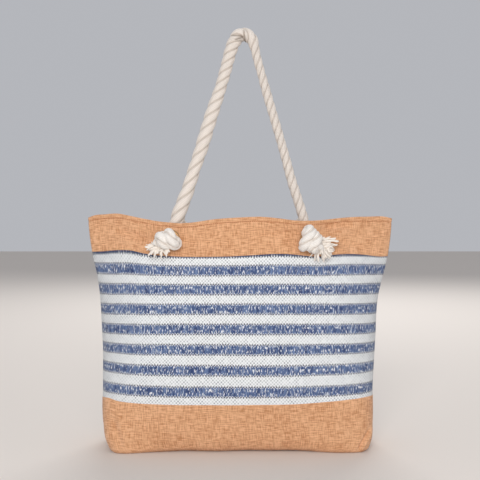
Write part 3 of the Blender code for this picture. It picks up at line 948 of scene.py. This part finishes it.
# three strands laid round each other, as one skin: three broad rounds with grooves between
def ropePiece(name, line, at, radii, phase, groove=0.20, material=ropeCotton, pinch=None):
    around = rope["around"]
    tangents = np.gradient(line, axis=0)
    tangents /= np.linalg.norm(tangents, axis=1, keepdims=True)
    first = Vector(tangents[0])
    side = first.orthogonal().normalized()
    points = np.zeros((len(line), around + 1, 3))
    flat = np.zeros((len(line), around + 1, 2))
    angles = np.linspace(0, math.tau, around + 1)
    for n in range(len(line)):
        way = Vector(tangents[n])
        if n:
            side = (side - way * side.dot(way)).normalized()
        other = way.cross(side)
        lobe = (angles + math.pi / 3) % (math.tau / 3) - math.pi / 3
        reach = 1 - groove * np.abs(lobe / (math.pi / 3)) ** 2.8
        turned = angles + phase[n]
        ring = np.outer(np.cos(turned) * reach, side) + np.outer(np.sin(turned) * reach, other)
        points[n] = line[n] + ring * radii[n]
        flat[n, :, 0] = angles / math.tau
        flat[n, :, 1] = at[n]
    if pinch is not None:
        pushed = pinch["depth"] * foldAt(points[..., 0], points[..., 2], pinch)
        points[..., 1] += np.where(points[..., 1] < line[len(line) // 2, 1], pushed, -pushed)
    points[:, -1] = points[:, 0]
    piece = gridPiece(name, points, flat, material, closed=True, flip=True)
    # the crease depth is kept on the mesh for the painted shade in the creases
    if pinch is not None:
        places = np.array([v.co for v in piece.data.vertices])
        shade = piece.data.attributes.new("creaseShade", "FLOAT", "POINT")
        shade.data.foreach_set("value", foldAt(places[:, 0], places[:, 2], pinch))
    return piece


# closes a tube's two open ends
def capEnds(piece):
    bm = bmesh.new()
    bm.from_mesh(piece.data)
    bmesh.ops.holes_fill(bm, edges=[e for e in bm.edges if e.is_boundary], sides=0)
    bm.to_mesh(piece.data)
    bm.free()


def smoothStep(value, low, high):
    t = np.clip((value - low) / (high - low), 0, 1)
    return t * t * (3 - 2 * t)


# one rope from knot to knot: the stretches inside the cloth are built with the knots, which stay with the
# bag, and the rest is the handle piece
def makeHandle(word, side, loop):
    leftRoot, rightRoot = rootRoute(-1, side), rootRoute(1, side)
    route = [*leftRoot, *loop, *rightRoot[::-1]]
    line, at = evenly(catmull(route, 12), rope["step"])
    total = at[-1]
    if side < 0:
        left, right = (through(rope[key], line[:, 2]) for key in ("leftWidths", "rightWidths"))
        radii = np.where(at < total / 2, left, right)
        radii = np.convolve(np.pad(radii, 6, mode="edge"), np.ones(13) / 13, mode="valid")
        leftLay = through(rope["leftLay"], line[:, 2])
        lay = leftLay + (rope["rightLay"] - leftLay) * smoothStep(at, total * 0.48, total * 0.53)
    else:
        radii = 0.0103 + 0.0003 * np.sin(at * 31)
        lay = 0.066 + 0.008 * np.sin(at * 9)
    radii = radii * (1 + 0.02 * np.sin(at * 140) * np.sin(at * 37))
    fromEnd = np.minimum(at, total - at)
    radii = rope["squeezed"] + (radii - rope["squeezed"]) * smoothStep(fromEnd, 0.008, 0.030)
    phase = np.concatenate([[0], np.cumsum(math.tau / lay[1:] * np.diff(at))])
    leftCut = int(np.searchsorted(at, rope["rootLength"]))
    rightCut = int(np.searchsorted(at, total - rope["rootLength"]))
    swing = slice(leftCut, rightCut + 1)
    pinch = rope["pinch"] if side < 0 else None
    handle = ropePiece(word + "HandleRope", line[swing], at[swing], radii[swing], phase[swing], pinch=pinch)
    capEnds(handle)
    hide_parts(word + "_handle_rope")
    if side < 0:
        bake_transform(handle)
    else:
        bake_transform(handle)
    return {
        "handle": handle,
        "swing": line[swing],
        "left": [values[leftCut::-1] for values in (line, at, radii, phase)],
        "right": [values[rightCut:] for values in (line, at, radii, phase)],
    }


frontLoop = [Vector((x, legY, z)) for x, z in rope["frontLoop"]]
leftHalf = [Vector((x, -hingeY + y, z)) for x, y, z in rope["backLoop"]]
backLoop = leftHalf + [Vector((-p.x, p.y, p.z)) for p in reversed(leftHalf[:-1])]
roots = {"front": makeHandle("front", -1, frontLoop), "back": makeHandle("back", 1, backLoop)}
print("handles made")

# each knot is a short coil, in millimetres in its hole's own frame: right, up, and out of the cloth
knots = {
    "radius": 0.0103,
    "lay": 0.050,
    "left": {
        "axis": 188, "centre": (3.2, 0.2), "lead": 9.0, "pitch": 14.0, "turns": 2.12,
        "wide": (10.0, 5.0), "deep": (6.5, 4.5), "out": 17, "tail": (-19, -12, 14),
    },
    "right": {
        "axis": -38, "centre": (-4, -2), "lead": 11.5, "pitch": 14.0, "turns": 1.62,
        "wide": (14.0, 11.0), "deep": (7.0, 6.0), "out": 17.5, "tail": (15, -12, 15),
    },
}


# in from the hole, round an axis that lies along the cloth, and out at the frayed end
def knotRoute(look):
    degrees = math.radians(look["axis"])
    axis = Vector((math.cos(degrees), math.sin(degrees), 0))
    up = Vector((-math.sin(degrees), math.cos(degrees), 0))
    points = [Vector((0, 0, 8))]
    for t in np.linspace(0.12, look["turns"], round(look["turns"] * 10)):
        share = t / look["turns"]
        wide, deep = (look[key][0] + (look[key][1] - look[key][0]) * share for key in ("wide", "deep"))
        turn = math.tau * t - math.pi / 2
        point = Vector((*look["centre"], look["out"])) + axis * (look["pitch"] * t - look["lead"])
        points.append(point + up * (wide * math.cos(turn)) + Vector((0, 0, deep * math.sin(turn))))
    return [*points, Vector(look["tail"])]


def makeKnot(word, hand, side, sideX):
    place = holeFrame(sideX * rope["holeX"], side)
    facing = hand if side < 0 else {"left": "right", "right": "left"}[hand]
    inner = [place @ (p / 1000) for p in knotRoute(knots[facing])]
    line, at, radii, phase = roots[word][hand]
    route = [Vector(p) for p in line[:-1:4]] + [Vector(line[-1])] + inner
    whole, run = evenly(catmull(route, 6), rope["step"])
    fromHole = abs(float(at[0] - at[-1]))
    thick = np.interp(run, [0, fromHole - 0.010, fromHole + 0.010, run[-1]],
                      [radii[0], rope["squeezed"], knots["radius"], knots["radius"]])
    turnWay = 1 if hand == "left" else -1
    spin = phase[0] - turnWay * np.concatenate([[0], np.cumsum(math.tau / knots["lay"] * np.diff(run))])
    piece = ropePiece(f"{word}{hand.title()}Knot", whole, run, thick, spin, 0.26, knotLitCotton)
    capEnds(piece)
    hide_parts(f"{word}_{hand}_knot", f"{word}_{hand}_rope_root")
    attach(piece, "bag")
    return piece, place, facing


fray = {
    "sides": 6,
    "rings": 9,
    "radius": 0.00140,
    # where the yarns start, in millimetres, and the headings between which they fan out, in degrees
    "left": {
        "yarns": 66, "start": (-14, -9, 13), "spread": (10, 4, 4), "headings": (172, 290),
        "length": (0.009, 0.021),
    },
    "right": {
        "yarns": 84, "start": (16, -10, 14), "spread": (7, 8, 4), "headings": (-100, 16),
        "length": (0.010, 0.028),
    },
}


# loose yarns that fan out from the rope's cut end, each a thin wavy tube
def makeFray(word, hand, place, facing, dice):
    look = fray[facing]
    start, spread = (Vector(look[key]) / 1000 for key in ("start", "spread"))
    bm = bmesh.new()
    uvLayer = bm.loops.layers.uv.new("clothUv")
    yarnAge = bm.verts.layers.float.new("yarnAge")
    for n in range(look["yarns"]):
        share = n / (look["yarns"] - 1)
        fromHeading, toHeading = look["headings"]
        heading = math.radians(fromHeading + share * (toHeading - fromHeading) + dice.normal(0, 9))
        lift = dice.uniform(-1, 1)
        way = Vector((math.cos(heading), math.sin(heading), 0.10 + 0.34 * lift)).normalized()
        sideways = way.cross(Vector((0, 0, 1))).normalized()
        root = start + Vector([a * b for a, b in zip(spread, dice.uniform(-1, 1, 3))])
        length = dice.uniform(*look["length"])
        wiggle, curl = dice.uniform(0, math.tau), dice.normal(0, 0.0022)
        thick = fray["radius"] * dice.uniform(0.8, 1.3)
        turn = way.to_track_quat("Z", "Y").to_matrix()
        tube = bmesh.ops.create_grid(bm, x_segments=fray["sides"], y_segments=fray["rings"], size=0.5)
        for v in tube["verts"]:
            angle, t = v.co.x * math.tau, v.co.y + 0.5
            flare = thick * (1 + 0.2 * math.sin(t * 8 + wiggle)) * (0.5 if t > 0.99 else 1.0)
            local = turn @ Vector((math.sin(angle) * flare, math.cos(angle) * flare, t * length))
            bend = sideways * (curl * t * t + 0.0009 * math.sin(t * 8 + wiggle) * t)
            v.co = place @ (root + local + bend)
            v[yarnAge] = t
    bmesh.ops.remove_doubles(bm, verts=bm.verts, dist=0.000001)
    for face in bm.faces:
        for loop in face.loops:
            loop[uvLayer].uv = (loop.vert.co.x * 8, loop.vert[yarnAge])
    bmesh.ops.holes_fill(bm, edges=[e for e in bm.edges if e.is_boundary], sides=0)
    piece = addPiece(f"{word}{hand.title()}Fray", bm, frayCotton)
    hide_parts(f"{word}_{hand}_frayed_end")
    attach(piece, "bag")
    return piece


dice = np.random.default_rng(11)
for word, side in (("front", -1), ("back", 1)):
    onRope = []
    for hand, sideX in (("left", -1), ("right", 1)):
        knot, place, facing = makeKnot(word, hand, side, sideX)
        onRope += [knot, makeFray(word, hand, place, facing, dice)]
print("knots made")

for name, node in frame["nodes"].items():
    if "eyelet" in name or "snap" in name:
        node.data.materials.clear()
        node.data.materials.append(brass)

stage = {
    "floor": linear(222, 214, 206),
    "room": (0.92, 0.94, 1.0),
    "roomStrength": 0.50,
    # place, power and size of each lamp, which all face the middle of the bag
    "lamps": {
        "keyLight": ((-0.30, -2.5, 1.4), 30.5, 0.8),
        "fillLight": ((0.35, -2.5, 0.7), 14, 0.8),
        "backLight": ((0.3, 2.2, 2.0), 42, 2.0),
    },
    "lampTarget": Vector((0, 0, 0.25)),
}
view = {"distance": 1.5, "height": 0.420, "lens": 67.8, "target": 0.3555, "front": -0.05}


def makeStage():
    floorMaterial, tree, shader, _ = newMaterial("paleFloor", 0.95)
    fill(tree, shader, {"Base Color": (*stage["floor"], 1)})
    bm = bmesh.new()
    bmesh.ops.create_grid(bm, x_segments=1, y_segments=1, size=6.0)
    floor = addPiece("floor", bm, floorMaterial)
    world = bpy.data.worlds.new("softRoom")
    bpy.context.scene.world = world
    world.use_nodes = True
    background = {"Color": (*stage["room"], 1), "Strength": stage["roomStrength"]}
    fill(world.node_tree, world.node_tree.nodes["Background"], background)
    for name, (place, power, size) in stage["lamps"].items():
        light = bpy.data.lights.new(name, "AREA")
        light.energy = power
        light.size = size
        lamp = bpy.data.objects.new(name, light)
        bpy.context.scene.collection.objects.link(lamp)
        lamp.location = place
        lamp.rotation_euler = (stage["lampTarget"] - Vector(place)).to_track_quat("-Z", "Y").to_euler()


def makeCamera():
    camera = bpy.data.cameras.new("camera")
    camera.lens = view["lens"]
    camera.sensor_width = 36
    holder = bpy.data.objects.new("camera", camera)
    bpy.context.scene.collection.objects.link(holder)
    place = Vector((0, view["front"] - view["distance"], view["height"]))
    target = Vector((0, view["front"], view["target"]))
    holder.location = place
    holder.rotation_euler = (target - place).to_track_quat("-Z", "Y").to_euler()
    bpy.context.scene.camera = holder


makeStage()
makeCamera()
bpy.context.scene.view_settings.view_transform = "Standard"
print("stage made")
